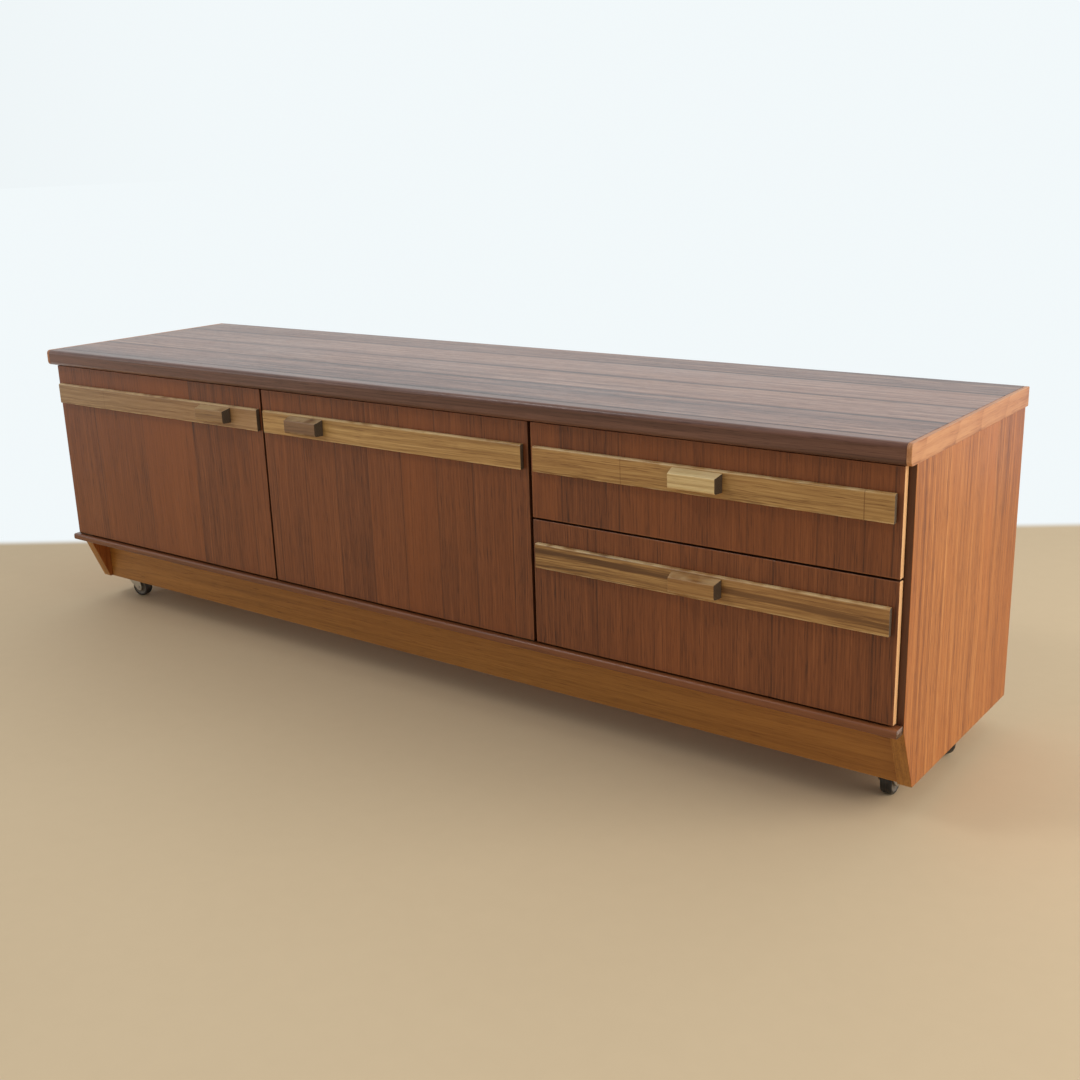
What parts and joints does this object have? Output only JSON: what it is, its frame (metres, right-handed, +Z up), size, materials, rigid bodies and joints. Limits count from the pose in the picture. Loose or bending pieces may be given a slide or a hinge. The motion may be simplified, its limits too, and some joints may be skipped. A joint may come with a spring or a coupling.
{
  "type": "sideboard buffet",
  "caption": "Low wooden sideboard on swivel castors: a hinged-door cupboard beside stacked drawers, under a long flat top with a rounded dark front edge.",
  "frame": {"origin": "centre of the bounding box on the floor plane, under the wheels", "axes": "+X along the length to the viewer's right, +Y from the front to the back, +Z up; the doors and drawers face -Y"},
  "size_m": [1.52, 0.3914, 0.452],
  "materials": {
    "black_wheel": "black moulded plastic wheel",
    "bright_steel": "zinc-plated pressed steel",
    "catch_plastic": "brown moulded housing",
    "dark_teak": "dark solid teak, satin",
    "front_veneer": "red-brown teak veneer, upright grain, satin",
    "hardboard": "brown hardboard, matt",
    "pale_teak": "olive-tan solid wood, satin",
    "raw_wood": "bare pale softwood and beech, matt",
    "side_teak": "lighter orange teak, oiled satin",
    "teak_veneer": "teak veneer, oiled satin"
  },
  "bodies": {
    "case": {"back_panel": "hardboard", "bottom_moulding": "dark_teak", "bottom_panel": "teak_veneer", "castor_bearer_left": "raw_wood", "castor_bearer_right": "raw_wood", "castor_front_left_plate": "bright_steel", "castor_front_right_plate": "bright_steel", "castor_rear_left_plate": "bright_steel", "castor_rear_right_plate": "bright_steel", "cupboard_shelf": "teak_veneer", "door_catch": "catch_plastic", "drawer_partition": "teak_veneer", "front_plinth": "side_teak", "lower_drawer_runner_left": "raw_wood", "lower_drawer_runner_right": "raw_wood", "side_panel_left": "side_teak", "side_panel_right": "side_teak", "top_end_lipping_left": "side_teak", "top_end_lipping_right": "side_teak", "top_front_edging": "dark_teak", "top_panel": "teak_veneer", "upper_drawer_runner_left": "raw_wood", "upper_drawer_runner_right": "raw_wood"},
    "left_door": {"left_door_catch_plate": "bright_steel", "left_door_handle": "pale_teak", "left_door_lower_pivot": "bright_steel", "left_door_panel": "front_veneer", "left_door_strip": "pale_teak", "left_door_upper_pivot": "bright_steel"},
    "middle_door": {"middle_door_catch_plate": "bright_steel", "middle_door_handle": "pale_teak", "middle_door_lower_pivot": "bright_steel", "middle_door_panel": "front_veneer", "middle_door_strip": "pale_teak", "middle_door_upper_pivot": "bright_steel"},
    "upper_drawer": {"upper_drawer_back": "raw_wood", "upper_drawer_bottom": "hardboard", "upper_drawer_box_front": "raw_wood", "upper_drawer_front": "front_veneer", "upper_drawer_handle": "pale_teak", "upper_drawer_side_left": "raw_wood", "upper_drawer_side_right": "raw_wood", "upper_drawer_strip": "pale_teak"},
    "lower_drawer": {"lower_drawer_back": "raw_wood", "lower_drawer_bottom": "hardboard", "lower_drawer_box_front": "raw_wood", "lower_drawer_front": "front_veneer", "lower_drawer_handle": "pale_teak", "lower_drawer_side_left": "raw_wood", "lower_drawer_side_right": "raw_wood", "lower_drawer_strip": "pale_teak"},
    "castor_front_left_swivel": {"castor_front_left_fork": "bright_steel"},
    "castor_front_left_wheel": {"castor_front_left_wheel": "black_wheel"},
    "castor_front_right_swivel": {"castor_front_right_fork": "bright_steel"},
    "castor_front_right_wheel": {"castor_front_right_wheel": "black_wheel"},
    "castor_rear_left_swivel": {"castor_rear_left_fork": "bright_steel"},
    "castor_rear_left_wheel": {"castor_rear_left_wheel": "black_wheel"},
    "castor_rear_right_swivel": {"castor_rear_right_fork": "bright_steel"},
    "castor_rear_right_wheel": {"castor_rear_right_wheel": "black_wheel"}
  },
  "joints": [
    {"name": "left_door_hinge", "type": "hinge", "parent": "case", "child": "left_door", "pos_m": [-0.747, -0.17075, 0.2778], "axis": [0, 0, -1], "range_deg": [0, 100]},
    {"name": "middle_door_hinge", "type": "hinge", "parent": "case", "child": "middle_door", "pos_m": [0.2506, -0.17075, 0.2778], "axis": [0, 0, 1], "range_deg": [0, 80]},
    {"name": "upper_drawer_slide", "type": "slide", "parent": "case", "child": "upper_drawer", "axis": [0, -1, 0], "range_m": [0, 0.26]},
    {"name": "lower_drawer_slide", "type": "slide", "parent": "case", "child": "lower_drawer", "axis": [0, -1, 0], "range_m": [0, 0.26]},
    {"name": "castor_front_left_swivel_joint", "type": "hinge", "parent": "case", "child": "castor_front_left_swivel", "pos_m": [-0.714, -0.09475, 0.045], "axis": [0, 0, 1], "continuous": true},
    {"name": "castor_front_left_wheel_spin", "type": "hinge", "parent": "castor_front_left_swivel", "child": "castor_front_left_wheel", "pos_m": [-0.70021, -0.09232, 0.0165], "axis": [-0.1736, 0.9848, 0], "continuous": true},
    {"name": "castor_front_right_swivel_joint", "type": "hinge", "parent": "case", "child": "castor_front_right_swivel", "pos_m": [0.714, -0.09475, 0.045], "axis": [0, 0, 1], "continuous": true},
    {"name": "castor_front_right_wheel_spin", "type": "hinge", "parent": "castor_front_right_swivel", "child": "castor_front_right_wheel", "pos_m": [0.71351, -0.08076, 0.0165], "axis": [-0.9994, -0.0349, 0], "continuous": true},
    {"name": "castor_rear_left_swivel_joint", "type": "hinge", "parent": "case", "child": "castor_rear_left_swivel", "pos_m": [-0.714, 0.06075, 0.045], "axis": [0, 0, 1], "continuous": true},
    {"name": "castor_rear_left_wheel_spin", "type": "hinge", "parent": "castor_rear_left_swivel", "child": "castor_rear_left_wheel", "pos_m": [-0.72472, 0.06975, 0.0165], "axis": [-0.6428, -0.766, 0], "continuous": true},
    {"name": "castor_rear_right_swivel_joint", "type": "hinge", "parent": "case", "child": "castor_rear_right_swivel", "pos_m": [0.714, 0.06075, 0.045], "axis": [0, 0, 1], "continuous": true},
    {"name": "castor_rear_right_wheel_spin", "type": "hinge", "parent": "castor_rear_right_swivel", "child": "castor_rear_right_wheel", "pos_m": [0.72669, 0.05483, 0.0165], "axis": [0.4226, 0.9063, 0], "continuous": true}
  ]
}
